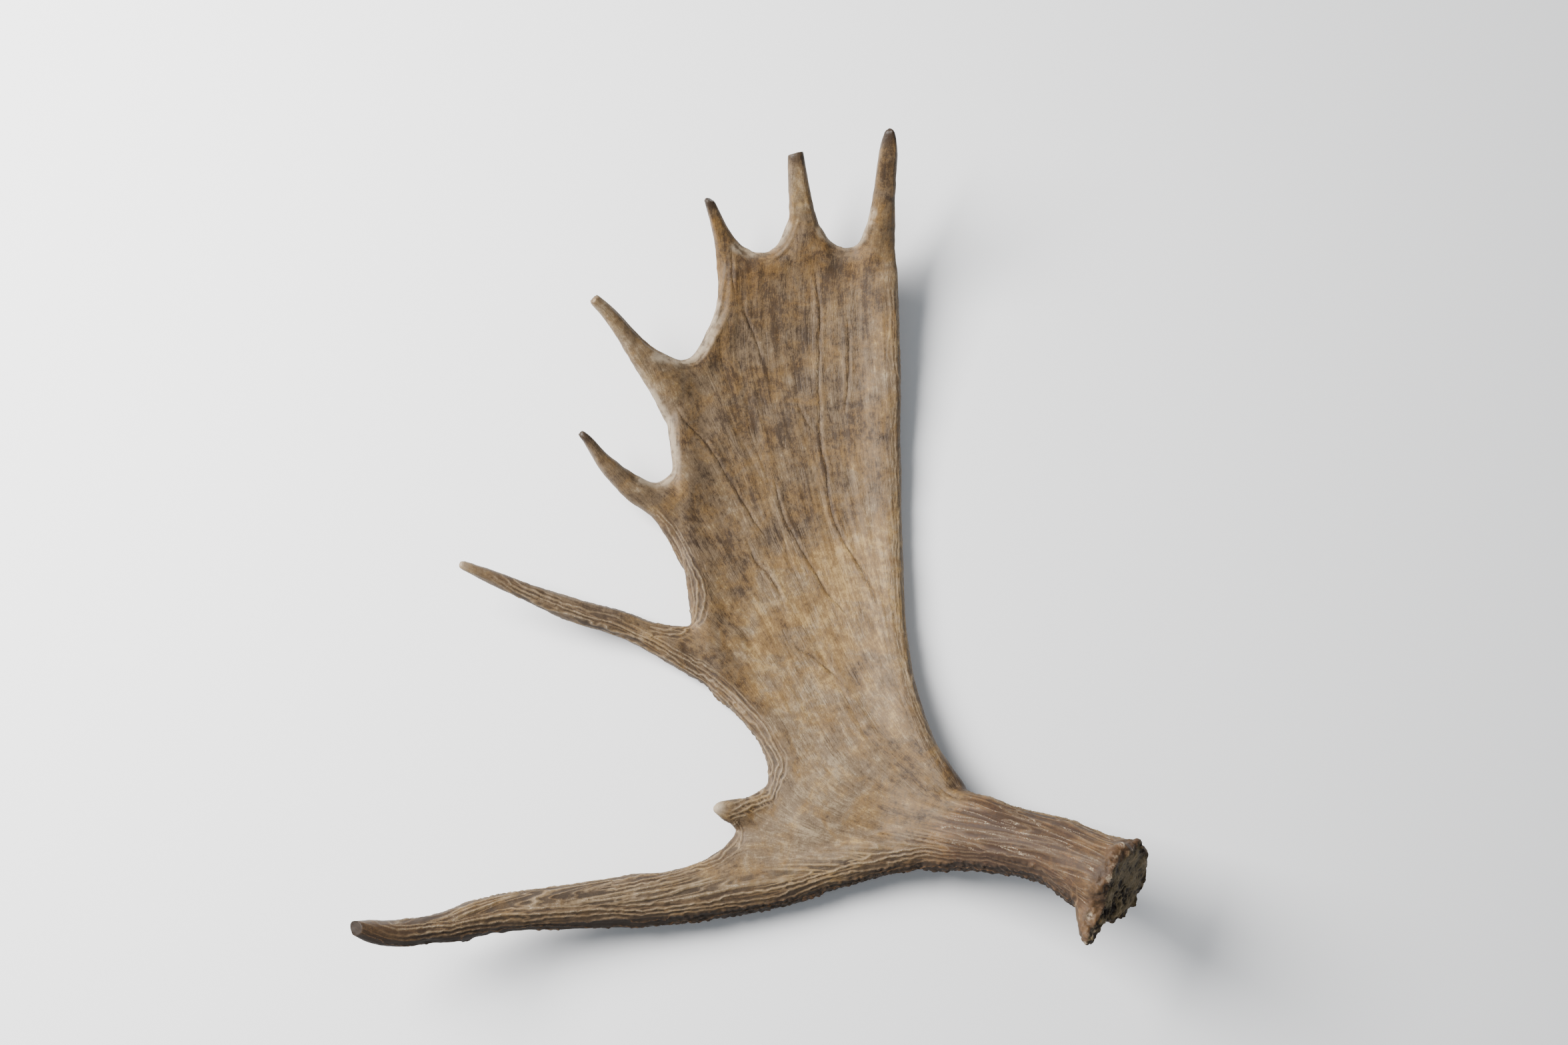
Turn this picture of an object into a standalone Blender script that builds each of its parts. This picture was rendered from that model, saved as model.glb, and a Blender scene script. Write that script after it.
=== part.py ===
"""Shed moose antler, lying on its convex back with the hollow of the palm up.

The shape is laid out in the plane of the photo: x to the right, y up, g out of
the wall toward the viewer, all in millimetres.  It is turned onto its resting
points at the end.  Every limb is a ladder of rungs: the two edge points of the
limb, its depth and half its thickness.
"""
import math
import random

import bmesh
import bpy
from mathutils import Matrix, Vector, noise

MM = 0.001

# Sizes of the grown surface, in millimetres.
VOXEL = 2.0             # grid that fuses the limbs
SMOOTH_STEPS = 8        # rounds the creases between limbs
FACE_STEPS = 60         # evens the broad faces, where the limbs run into the palm
STEPS_PER_RUNG = 5      # rings between two rungs
RING_POINTS = 66        # points around a limb
RIDGE_PITCH = 15.0      # from one lengthwise ridge to the next
LUMP_SIZE = 34.0        # length of the soft swellings
LUMP_HEIGHT = 1.1
PEARL_RADIUS = (2.6, 4.2)
CORONET_BEADS = 27
BEAD_RADIUS = (3.4, 5.6)

# Cuts at the main fork.
CUT_GAP = 0.3           # between neighbouring pieces
BEAM_CUT = ((153.0, -250.0, 98.0), (0.80, -0.22, 0.56))
BROW_CUT = ((50.0, -247.0, 84.0), (0.488, 0.873, 0.0))
TRIANGLES = 8900        # of the whole antler

# Rest: turns about the photo's x and y axes, and what the floor has worn off.
REST_TURN_X = 9.31
REST_TURN_Y = -7.25
WORN_FLAT = 0.4

BONE_COLOURS = {
    "beam": (0.33, 0.22, 0.13, 1.0),
    "brow_branch": (0.37, 0.27, 0.17, 1.0),
    "palm": (0.45, 0.34, 0.22, 1.0),
}

# Round limbs: left x, left y, right x, right y, depth g, half thickness.
BEAM = (
    (266, -245, 240, -303, 163, 35),
    (253, -243, 231, -300, 157, 32),
    (241, -239, 222, -295, 149, 29),
    (225, -234, 207, -285, 136, 26),
    (205, -230, 187, -281, 122, 25),
    (182, -226, 167, -280, 108, 24),
    (161, -220, 144, -279, 95, 22),
    (142, -218, 118, -282, 84, 20),
    (120, -208, 90, -272, 76, 16),
    (99, -194, 60, -258, 71, 10),
    (80, -176, 34, -242, 67, 6),
    (64, -158, 14, -226, 63, 2),
)
BROW = (
    (121, -236, 106, -282, 80, 18),
    (86, -246, 79, -287, 77, 18),
    (41, -259, 44, -297, 78, 18),
    (5, -268, 9, -308, 82, 18),
    (-35, -277, -33, -316, 90, 18),
    (-74, -280, -73, -320, 99, 18),
    (-114, -280, -118, -322, 110, 18),
    (-144, -283, -149, -321, 120, 17),
    (-173, -286, -178, -320, 131, 16),
    (-202, -288, -207, -319, 142, 15),
    (-223, -290, -229, -320, 151, 14),
    (-245, -294, -249, -323, 162, 13),
    (-263, -300, -267, -324, 173, 12),
    (-277, -302, -279, -324, 182, 11),
    (-295, -302, -295, -322, 192, 10),
    (-310, -300, -308, -318, 202, 8.5),
    (-322, -299, -317, -310, 213, 5),
)
POINT_1 = (
    (-36, -83, -25, -167, 53, 3.5),
    (-66, -84, -55, -141, 57, 8.5),
    (-87, -84, -80, -125, 60, 11.5),
    (-108, -81, -107, -109, 64, 11.5),
    (-131, -72, -136, -93, 71, 10.5),
    (-161, -64, -166, -83, 81, 9.5),
    (-193, -53, -197, -69, 93, 8),
    (-225, -40, -228, -54, 106, 6.5),
    (-244, -33, -247, -43, 116, 4.8),
    (-252, -30, -254, -39, 121, 3.5),
)
POINT_2 = (
    (-53, 79, -64, -64, 38, 3.5),
    (-80, 52, -85, -36, 46, 8),
    (-95, 39, -95, -17, 49, 11),
    (-107, 33, -108, 3, 54, 11),
    (-125, 42, -129, 20, 64, 10),
    (-143, 55, -148, 42, 78, 7.5),
    (-154, 68, -159, 61, 90, 5),
    (-160, 73, -165, 69, 95, 3.5),
)
POINT_3 = (
    (-37, 174, -59, 52, 31, 3.5),
    (-62, 153, -86, 71, 38, 7.5),
    (-77, 136, -97, 83, 44, 10),
    (-93, 135, -111, 110, 54, 10),
    (-115, 150, -131, 141, 71, 8.5),
    (-134, 171, -146, 164, 87, 7),
    (-149, 184, -158, 177, 99, 5.5),
)
POINT_4 = (
    (0, 192, -56, 185, 28, 3.5),
    (-24, 223, -56, 203, 33, 6),
    (-36, 230, -57, 221, 39, 8),
    (-45, 241, -60, 240, 49, 7.5),
    (-53, 256, -63, 253, 61, 5.5),
    (-58, 265, -66, 262, 68, 3.8),
)
POINT_5 = (
    (-14, 194, 44, 198, 20, 3),
    (-8, 218, 39, 222, 26, 6.5),
    (-2, 238, 34, 240, 33, 8.5),
    (3, 251, 28, 251, 39, 8.5),
    (4, 265, 24, 265, 47, 8),
    (4, 285, 19, 285, 58, 6.5),
    (4, 301, 15, 304, 67, 5),
)
POINT_6 = (
    (52, 194, 97, 187, 20, 4),
    (58, 222, 94, 217, 24, 7),
    (64, 236, 93, 234, 30, 9),
    (68, 247, 93, 244, 37, 10),
    (71, 263, 92, 260, 50, 10),
    (75, 285, 92, 284, 67, 8),
    (77, 302, 92, 300, 80, 6),
    (81, 313, 89, 312, 89, 3.5),
)
BAY_4 = (
    (-46, 240, -46, 218, 42, 4),
    (-37, 230, -38, 210, 37, 4.5),
    (-27, 225, -28, 206, 34, 4.5),
    (-15, 225, -16, 206, 31.5, 4.5),
    (-6, 231, -4, 210, 30.5, 4.5),
    (0, 241, 5, 218, 33, 4),
)
BAY_5 = (
    (31, 246, 26, 220, 34, 4),
    (36, 238, 36, 214, 28, 4),
    (45, 232, 45, 210, 25, 4),
    (56, 231, 56, 209, 24, 4),
    (66, 237, 66, 212, 26, 4.5),
    (73, 247, 76, 218, 33, 4),
)
SPUR = (
    (30, -206, 10, -276, 74, 3),
    (-10, -213, -23, -262, 76, 7),
    (-29, -222, -39, -247, 82, 8.5),
    (-42, -224, -47, -240, 88, 7),
    (-51, -226, -54, -233, 93, 4),
)
WEB = (
    (-130, -284, -127, -298, 113, 8),
    (-93, -279, -88, -300, 103, 9),
    (-68, -272, -49, -299, 95, 9),
    (-49, -262, -9, -293, 87, 9),
    (-36, -247, 29, -283, 81, 9),
    (-24, -227, 72, -270, 76, 10),
    (-10, -214, 112, -258, 73, 9),
    (-8, -196, 128, -238, 70, 5),
    (-8, -178, 120, -216, 65, 2),
)
SPIKE = (
    (224, -286, 254, -298, 171, 14),
    (224, -303, 246, -307, 177, 10),
    (226, -313, 239, -315, 183, 7.5),
    (229, -320, 237, -321, 186, 5),
)

# Palm: left x, left y, left g, right x, right y, right g, how far its middle
# hangs back, and half its thickness at the left rim, middle and right rim.
PALM = (
    (-4, -246, 78, 140, -246, 80, 0, 5, 5, 6),
    (-11, -213, 72, 146, -216, 74, 2, 9, 9, 13),
    (-20, -181, 67, 125, -181, 64, 4, 11, 9, 15),
    (-41, -155, 63, 114, -153, 55, 6, 12, 7, 14),
    (-62, -136, 60, 106, -119, 45, 7, 12, 6, 13),
    (-76, -85, 56, 101, -78, 34, 8, 11, 5.5, 13),
    (-81, -42, 53, 100, -37, 25, 9, 10, 5, 13),
    (-93, 2, 50, 99, 5, 18, 10, 10, 5, 12.5),
    (-92, 46, 48, 99, 47, 14, 10, 10, 5, 12),
    (-95, 90, 45, 98, 92, 13, 10, 9.5, 5, 12),
    (-76, 133, 40, 98, 134, 13, 9, 9, 5, 11.5),
    (-59, 171, 37, 97, 171, 16, 8, 8.5, 5, 11),
    (-54, 204, 37, 95, 206, 20, 7, 8, 5, 10),
    (-48, 217, 39, 91, 229, 25, 5, 6, 3.5, 6),
)

# Burr: centre of the seal face, the way it looks, and its half width and depth.
SEAL_CENTRE = (264, -279, 163)
SEAL_NORMAL = (0.79, -0.327, 0.52)
SEAL_RADII = (32.5, 38)


def clear_scene():
    for obj in list(bpy.data.objects):
        bpy.data.objects.remove(obj, do_unlink=True)


def spline(rows, steps):
    """Catmull-Rom rows between the given rows, the given rows included."""
    out = []
    last = len(rows) - 1
    for i in range(last):
        p0 = rows[max(i - 1, 0)]
        p1 = rows[i]
        p2 = rows[i + 1]
        p3 = rows[min(i + 2, last)]
        for k in range(steps):
            t = k / steps
            row = []
            for a, b, c, d in zip(p0, p1, p2, p3):
                slope = (c - a) * t
                bend = (2 * a - 5 * b + 4 * c - d) * t * t
                turn = (3 * b - a - 3 * c + d) * t ** 3
                row.append(b + 0.5 * (slope + bend + turn))
            out.append(row)
    out.append(list(rows[last]))
    return out


def skin(bm, rings):
    """Close a row of equal rings into one shell with a fan over each end."""
    loops = [[bm.verts.new(p) for p in ring] for ring in rings]
    count = len(loops[0])
    for low, high in zip(loops, loops[1:]):
        for i in range(count):
            j = (i + 1) % count
            bm.faces.new((low[i], low[j], high[j], high[i]))
    for ring, points, flip in ((loops[0], rings[0], True), (loops[-1], rings[-1], False)):
        hub = bm.verts.new(sum(points, Vector()) / count)
        for i in range(count):
            j = (i + 1) % count
            corner = (ring[j], ring[i], hub) if flip else (ring[i], ring[j], hub)
            bm.faces.new(corner)


def frames(centres, widths):
    """Thickness direction at every rung, square to the limb and its width."""
    out = []
    last = len(centres) - 1
    for i, width in enumerate(widths):
        along = centres[min(i + 1, last)] - centres[max(i - 1, 0)]
        normal = along.cross(width).normalized()
        if normal.z < 0:
            normal.negate()
        out.append(normal)
    return out


def round_limb(bm, rungs, ridge_height=0.0, rng=None):
    """A round limb; ridges run along it when a ridge height is given."""
    rows = spline(rungs, STEPS_PER_RUNG)
    centres = [Vector(((r[0] + r[2]) / 2, (r[1] + r[3]) / 2, r[4])) for r in rows]
    widths = [Vector(((r[2] - r[0]) / 2, (r[3] - r[1]) / 2, 0.0)) for r in rows]
    normals = frames(centres, widths)
    girth = math.pi * (widths[0].length + rungs[0][5])
    ridges = max(3, round(girth / RIDGE_PITCH))
    start = rng.random() * 6.0 if rng else 0.0
    rings = []
    for i, row in enumerate(rows):
        ring = []
        for k in range(RING_POINTS):
            turn = 2 * math.pi * k / RING_POINTS
            drift = 0.35 * math.sin(i * 0.21 + start) + 0.25 * math.sin(i * 0.09 + turn)
            crest = abs(math.sin(ridges * turn / 2)) - 0.6
            crest *= ridge_height * (0.7 + 0.5 * math.sin(turn * 2 + i * 0.17 + start))
            across = widths[i] * math.cos(turn + drift * 0.15)
            out = normals[i] * row[5] * math.sin(turn + drift * 0.15)
            point = across + out
            point += point.normalized() * crest
            ring.append(centres[i] + point)
        rings.append(ring)
    skin(bm, rings)


def palm_sheet(bm):
    """The palm: a hollow sheet between two thick rims."""
    rows = spline(PALM, STEPS_PER_RUNG)
    half = RING_POINTS // 2
    lefts = [Vector(row[0:3]) for row in rows]
    rights = [Vector(row[3:6]) for row in rows]
    centres = [(a + b) / 2 for a, b in zip(lefts, rights)]
    widths = [(b - a) / 2 for a, b in zip(lefts, rights)]
    normals = frames(centres, widths)
    rings = []
    for i, row in enumerate(rows):
        sag, left_half, mid_half, right_half = row[6:10]
        ring = []
        for k in range(2 * half):
            turn = math.pi * k / half
            u = math.cos(turn)
            side = 1.0 if k <= half else -1.0
            rim = left_half if u < 0 else right_half
            reach = rim * 1.6 / widths[i].length
            edge = (1.0 - abs(u)) / reach
            closing = math.sqrt(max(0.0, 1.0 - max(0.0, 1.0 - edge * 1.6) ** 2))
            swell = math.exp(-(max(0.0, edge - 0.55) / 0.9) ** 2)
            thick = (mid_half + (rim - mid_half) * swell) * closing
            hang = -sag * (1.0 - u * u) ** 1.2
            ring.append(centres[i] + widths[i] * u + normals[i] * (hang + side * thick))
        rings.append(ring)
    skin(bm, rings)


def ball(bm, centre, radius, squash=1.0, axis=None):
    place = Matrix.Translation(centre)
    if axis is not None:
        place = place @ axis.to_track_quat("Z", "Y").to_matrix().to_4x4()
    place = place @ Matrix.Diagonal((radius, radius, radius * squash, 1.0))
    bmesh.ops.create_icosphere(bm, subdivisions=3, radius=1.0, matrix=place)


def burr(bm, rng):
    """Coronet beads around the end of the beam and the domed seal face."""
    centre = Vector(SEAL_CENTRE)
    normal = Vector(SEAL_NORMAL).normalized()
    side = normal.cross(Vector((0.0, 0.0, 1.0))).normalized()
    depth = normal.cross(side)
    rings = []
    profile = ((-12, 0.92), (-8, 1.02), (-5, 1.06), (-2, 1.02), (0.5, 0.9), (2.5, 0.7), (3.5, 0.35))
    for rise, spread in profile:
        ring = []
        for k in range(RING_POINTS):
            turn = 2 * math.pi * k / RING_POINTS
            out = side * math.cos(turn) * SEAL_RADII[0] + depth * math.sin(turn) * SEAL_RADII[1]
            ring.append(centre + out * spread + normal * rise)
        rings.append(ring)
    skin(bm, rings)
    for k in range(CORONET_BEADS):
        turn = 2 * math.pi * (k + rng.uniform(-0.25, 0.25)) / CORONET_BEADS
        out = side * math.cos(turn) * SEAL_RADII[0] + depth * math.sin(turn) * SEAL_RADII[1]
        spot = centre + out * rng.uniform(0.94, 1.03) + normal * rng.uniform(-8.0, -2.0)
        ball(bm, spot, rng.uniform(*BEAD_RADIUS), rng.uniform(0.7, 1.0), normal)


def pearls(bm, rungs, count, rng):
    """Small lumps on the back and lower side of a round limb."""
    rows = spline(rungs, STEPS_PER_RUNG)
    centres = [Vector(((r[0] + r[2]) / 2, (r[1] + r[3]) / 2, r[4])) for r in rows]
    widths = [Vector(((r[2] - r[0]) / 2, (r[3] - r[1]) / 2, 0.0)) for r in rows]
    normals = frames(centres, widths)
    for _ in range(count):
        i = rng.randrange(3, len(rows) - 12)
        turn = rng.uniform(-1.3, 0.3)
        point = widths[i] * math.cos(turn) + normals[i] * rows[i][5] * math.sin(turn)
        ball(bm, centres[i] + point * 0.96, rng.uniform(*PEARL_RADIUS), 0.75, point)


def apply_modifiers(obj):
    graph = bpy.context.evaluated_depsgraph_get()
    mesh = bpy.data.meshes.new_from_object(obj.evaluated_get(graph))
    obj.modifiers.clear()
    old = obj.data
    obj.data = mesh
    bpy.data.meshes.remove(old)


def even_faces(body):
    """Smooth the broad faces of the palm and web, leaving every rim as it is."""
    mesh = body.data
    faces = body.vertex_groups.new(name="faces")
    for index, normal in enumerate([v.normal.copy() for v in mesh.vertices]):
        x, y, _ = mesh.vertices[index].co
        if -84 < x < 132 and y > -300:
            weight = min(1.0, max(0.0, (abs(normal.z) - 0.72) / 0.15))
            if weight > 0.0:
                faces.add([index], weight, "REPLACE")
    even = body.modifiers.new("even", "SMOOTH")
    even.vertex_group = "faces"
    even.factor = 0.5
    even.iterations = FACE_STEPS
    apply_modifiers(body)
    body.vertex_groups.clear()


def grown_body():
    """All limbs fused into one closed skin, in millimetres."""
    rng = random.Random(41)
    bm = bmesh.new()
    palm_sheet(bm)
    round_limb(bm, BEAM, 1.6, rng)
    round_limb(bm, BROW, 1.5, rng)
    for points in (POINT_1, POINT_2, POINT_3, POINT_4, POINT_5, POINT_6):
        round_limb(bm, points, 0.5, rng)
    for points in (SPUR, WEB, SPIKE, BAY_4, BAY_5):
        round_limb(bm, points)
    pearls(bm, BEAM, 22, rng)
    pearls(bm, BROW, 44, rng)
    burr(bm, rng)
    mesh = bpy.data.meshes.new("antler")
    bm.to_mesh(mesh)
    bm.free()
    body = bpy.data.objects.new("antler", mesh)
    bpy.context.scene.collection.objects.link(body)
    fuse = body.modifiers.new("fuse", "REMESH")
    fuse.mode = "VOXEL"
    fuse.voxel_size = VOXEL
    fuse.adaptivity = 0.0
    soften = body.modifiers.new("soften", "SMOOTH")
    soften.factor = 0.5
    soften.iterations = SMOOTH_STEPS
    apply_modifiers(body)
    even_faces(body)
    mesh = body.data
    normals = [v.normal.copy() for v in mesh.vertices]
    for vertex, normal in zip(mesh.vertices, normals):
        vertex.co += normal * noise.noise(vertex.co / LUMP_SIZE) * LUMP_HEIGHT
    return body


def cut_piece(body, name, planes):
    """The part of the body on the positive side of every plane, capped."""
    bm = bmesh.new()
    bm.from_mesh(body.data)
    for point, normal in planes:
        geom = bm.verts[:] + bm.edges[:] + bm.faces[:]
        cut = bmesh.ops.bisect_plane(
            bm, geom=geom, plane_co=point, plane_no=normal, clear_inner=True
        )
        rim = [e for e in cut["geom_cut"] if isinstance(e, bmesh.types.BMEdge)]
        bmesh.ops.edgeloop_fill(bm, edges=rim)
    keep_largest(bm)
    bmesh.ops.triangulate(bm, faces=bm.faces[:])
    bmesh.ops.recalc_face_normals(bm, faces=bm.faces[:])
    mesh = bpy.data.meshes.new(name)
    bm.to_mesh(mesh)
    bm.free()
    piece = bpy.data.objects.new(name, mesh)
    bpy.context.scene.collection.objects.link(piece)
    return piece


def keep_largest(bm):
    """Drop every island of the mesh but the biggest."""
    bm.verts.ensure_lookup_table()
    seen = set()
    islands = []
    for start in bm.verts:
        if start in seen:
            continue
        seen.add(start)
        island = [start]
        for vertex in island:
            for edge in vertex.link_edges:
                other = edge.other_vert(vertex)
                if other not in seen:
                    seen.add(other)
                    island.append(other)
        islands.append(island)
    islands.sort(key=len)
    loose = [v for island in islands[:-1] for v in island]
    bmesh.ops.delete(bm, geom=loose, context="VERTS")


def to_rest(body):
    """Turn the body onto its resting points and centre it over the origin."""
    turn = Matrix.Rotation(math.radians(REST_TURN_Y), 4, "Y")
    turn = turn @ Matrix.Rotation(math.radians(REST_TURN_X), 4, "X")
    body.data.transform(turn)
    points = [v.co for v in body.data.vertices]
    low = Vector([min(p[i] for p in points) for i in range(3)])
    high = Vector([max(p[i] for p in points) for i in range(3)])
    shift = Vector((-(low.x + high.x) / 2, -(low.y + high.y) / 2, -low.z - WORN_FLAT))
    body.data.transform(Matrix.Translation(shift))
    return Matrix.Translation(shift) @ turn


def moved(cut, place, side, gap):
    """A cut plane of the photo frame in the resting frame, half a gap off."""
    normal = (place.to_3x3() @ Vector(cut[1])).normalized() * side
    return place @ Vector(cut[0]) + normal * gap / 2, normal


def bone(name):
    material = bpy.data.materials.new(name)
    material.use_nodes = True
    shader = material.node_tree.nodes["Principled BSDF"]
    shader.inputs["Base Color"].default_value = BONE_COLOURS[name]
    shader.inputs["Roughness"].default_value = 0.62
    shader.inputs["Metallic"].default_value = 0.0
    return material


def main():
    clear_scene()
    body = grown_body()
    reduce = body.modifiers.new("reduce", "DECIMATE")
    reduce.ratio = TRIANGLES / (2 * len(body.data.polygons))
    apply_modifiers(body)
    place = to_rest(body)
    floor = (Vector((0.0, 0.0, 0.0)), Vector((0.0, 0.0, 1.0)))
    beam_side = moved(BEAM_CUT, place, 1, CUT_GAP)
    palm_side = moved(BEAM_CUT, place, -1, CUT_GAP)
    above = moved(BROW_CUT, place, 1, CUT_GAP)
    below = moved(BROW_CUT, place, -1, CUT_GAP)
    pieces = {
        "beam": (floor, beam_side),
        "palm": (floor, palm_side, above),
        "brow_branch": (floor, palm_side, below),
    }
    for name, planes in pieces.items():
        piece = cut_piece(body, name, planes)
        piece.data.transform(Matrix.Scale(MM, 4))
        piece.data.materials.append(bone(name))
        piece.data.shade_smooth()
        piece.data.set_sharp_from_angle(angle=math.radians(50))
    bpy.data.objects.remove(body, do_unlink=True)


if __name__ == "__main__":
    main()
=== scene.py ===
"""Shed moose antler: one grown skin with ridges, grooves and pearls, cut at its forks.

The skin follows the three solids of the frame.  Growth coordinates run up the
antler from the burr: where a line of growth left the burr, and how far along
it lies.  The grain and most ridges follow them; other ridges run beside drawn
edges, and some veins are drawn.
"""
import math

import bmesh
import bpy
import numpy as np
from bpy.props import FloatProperty, FloatVectorProperty, IntProperty, PointerProperty
from mathutils import Matrix, Vector, kdtree
from numpy.linalg import norm


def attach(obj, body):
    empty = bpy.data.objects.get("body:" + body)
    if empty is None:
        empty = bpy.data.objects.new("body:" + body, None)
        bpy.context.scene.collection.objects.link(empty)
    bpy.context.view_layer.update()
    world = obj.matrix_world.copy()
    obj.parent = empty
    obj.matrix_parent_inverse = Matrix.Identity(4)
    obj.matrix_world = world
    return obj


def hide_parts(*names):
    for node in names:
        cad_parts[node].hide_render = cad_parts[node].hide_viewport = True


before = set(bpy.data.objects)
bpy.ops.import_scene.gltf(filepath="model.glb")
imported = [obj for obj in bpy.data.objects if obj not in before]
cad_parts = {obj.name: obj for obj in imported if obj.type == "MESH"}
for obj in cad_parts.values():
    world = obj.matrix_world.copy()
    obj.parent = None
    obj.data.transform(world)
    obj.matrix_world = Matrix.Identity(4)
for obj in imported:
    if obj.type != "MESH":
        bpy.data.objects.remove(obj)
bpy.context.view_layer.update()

bl_info = {
    "name": "Moose Antler",
    "version": (1, 0, 0),
    "blender": (4, 5, 0),
    "location": "View3D > Sidebar > Antler",
    "description": "Builds the grown surface of a shed moose antler and its studio stage",
    "category": "Object",
}

MM = 0.001
MOST_TRIANGLES = 195000
NODES = ("beam", "brow_branch", "palm")

# Lie of the antler: from the upright frame it was measured in to the floor.
LIE = (
    Matrix.Translation(Vector((33.90, 27.94, -17.19)) * MM)
    @ Matrix.Rotation(math.radians(-7.25), 4, "Y")
    @ Matrix.Rotation(math.radians(9.31), 4, "X")
)
BACK = np.array(LIE.inverted())

# Landmarks in the upright frame, millimetres.
SEAL_CENTRE = (264, -279, 163)
SEAL_NORMAL = (0.79, -0.327, 0.52)
BURR_RADIUS = 30
BURR_REACH = 90
# Height over the seal's plane at which growth starts.
GROWTH_START = -13
# Each tip: where it is, its share of the growth, how dark (or pale, below 0) it ends,
# and how far the skin is drawn out and thickened there, millimetres.
TIPS = {
    "point_1": ((-252, -35, 121), 0.15, -0.4, 5.4, -0.8),
    "point_2": ((-162, 71, 95), 0.12, 0.7, 2.4, 0),
    "point_3": ((-153, 180, 99), 0.14, 0, 0, -1),
    "point_4": ((-62, 263, 67), 0.10, 0.8, 2.2, 0),
    "point_5": ((10, 302, 67), 0.13, 0.7, 1, 1.6),
    "point_6": ((85, 312, 89), 0.15, 0.9, 5.2, 0.3),
    "spur": ((-56, -230, 94), 0.03, -0.9, 3.2, 1),
    "brow": ((-320, -305, 213), 0.18, 0.4, 6, 0),
}
# Flat ends: a point on the cut, the way it faces, its reach, and how raw (or dark, below 0) it is.
FLAT_ENDS = (
    ((-152, 180, 101), (-0.50, 0.35, 0.79), 11, 1),
    ((-319.5, -305, 214), (-0.45, 0.05, 0.89), 13, -1),
    ((10, 301.5, 67), (-0.22, 0.96, 0.15), 16, 0.15),
    ((-62.5, 264.5, 67), (0.35, 0.85, 0.40), 8, 0),
)
# Hollows of the spike under the burr: where, reach and depth.
HOLLOWS = (((235, -312, 188), 5.5, 2.4), ((233, -300, 184), 4.5, 1.8))
BEAM_CUT = ((153, -250, 98), (0.80, -0.22, 0.56))
BROW_CUT = ((50, -247, 84), (0.488, 0.873, 0))
# Where the camera stood, and lines seen from there on the plane through the origin.
CAMERA_REACH = 1844
# Limbs on the back: half widths at their foot and top, strength, least x, and their line.
LIMBS_BEHIND = (
    (48, 34, 1, 95, ((275, -284), (222, -273), (165, -262), (100, -262))),
    (34, 23, 1, -999, (
        (120, -270), (60, -285), (0, -308), (-60, -324), (-120, -327), (-205, -330), (-350, -345),
    )),
    (22, 13, 0.8, -999, ((-100, -88), (-56, -128), (-22, -172), (-9, -214), (-26, -232))),
    (24, 15, 0.7, -999, ((-274, -38), (-178, -66), (-92, -92))),
)
# Below this line the front is ridged limb, above it the smooth palm.
LIMB_LINE = (
    (-420, -235), (-200, -262), (-100, -285), (-76, -302), (-32, -301), (8, -290), (36, -283),
    (59, -278), (104, -266), (138, -250), (160, -232), (175, -205), (330, -205),
)
# Edges with the bone on their left.
SIDE_RIM = (
    (-264, -44), (-230, -64), (-205, -77), (-173, -88), (-142, -97), (-122, -106), (-108, -115),
    (-73, -134), (-51, -151), (-32, -173), (-18, -193), (-12, -204), (-14, -215), (-22, -228),
    (-43, -236), (-59, -243),
)
FIRST_BAY = (
    (-122, 11), (-102, -9), (-93, -29), (-82, -43), (-79, -60), (-80, -77), (-88, -86),
    (-104, -85), (-125, -80),
)
SPUR_RIM = (
    (-59, -242), (-54, -247), (-46, -257), (-43, -266), (-50, -275), (-71, -287), (-94, -294),
    (-115, -297), (-160, -303),
)
RIGHT_RIM = (
    (139, -193), (126, -180), (118, -161), (108, -120), (102, -67), (101, -25), (99, 27),
    (100, 58), (98, 121), (97, 173), (95, 215),
)
LOWER_EDGE = (
    (-400, -325), (-366, -345), (-345, -356), (-325, -361), (-297, -360), (-269, -355),
    (-235, -347), (-201, -345), (-167, -344), (-133, -344), (-99, -341), (-65, -337), (-32, -331),
    (2, -325), (30, -316), (59, -307), (87, -299), (115, -295), (149, -296), (183, -299),
    (211, -305), (228, -315),
)
# Ridges run beside them: the edge, their spacing and the width they fill, and their strength.
RIDGED_EDGES = (
    (SIDE_RIM, 4.4, 15, 1),
    (FIRST_BAY, 4.2, 13, 0.9),
    (SPUR_RIM, 3.4, 9.5, 0.9),
    (RIGHT_RIM, 3.2, 9, 0.6),
    (LOWER_EDGE, 4.4, 19, 1),
)
# Corners filled with bone: x, y, reach and depth of the fill, and how much is rounded off.
FILLETS = (
    (151, -226, 12, 3.4, 0.75),
    (-12, -222, 8, 2, 0),
    (-300, -361, 12, -1, 0.8),
)
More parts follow.
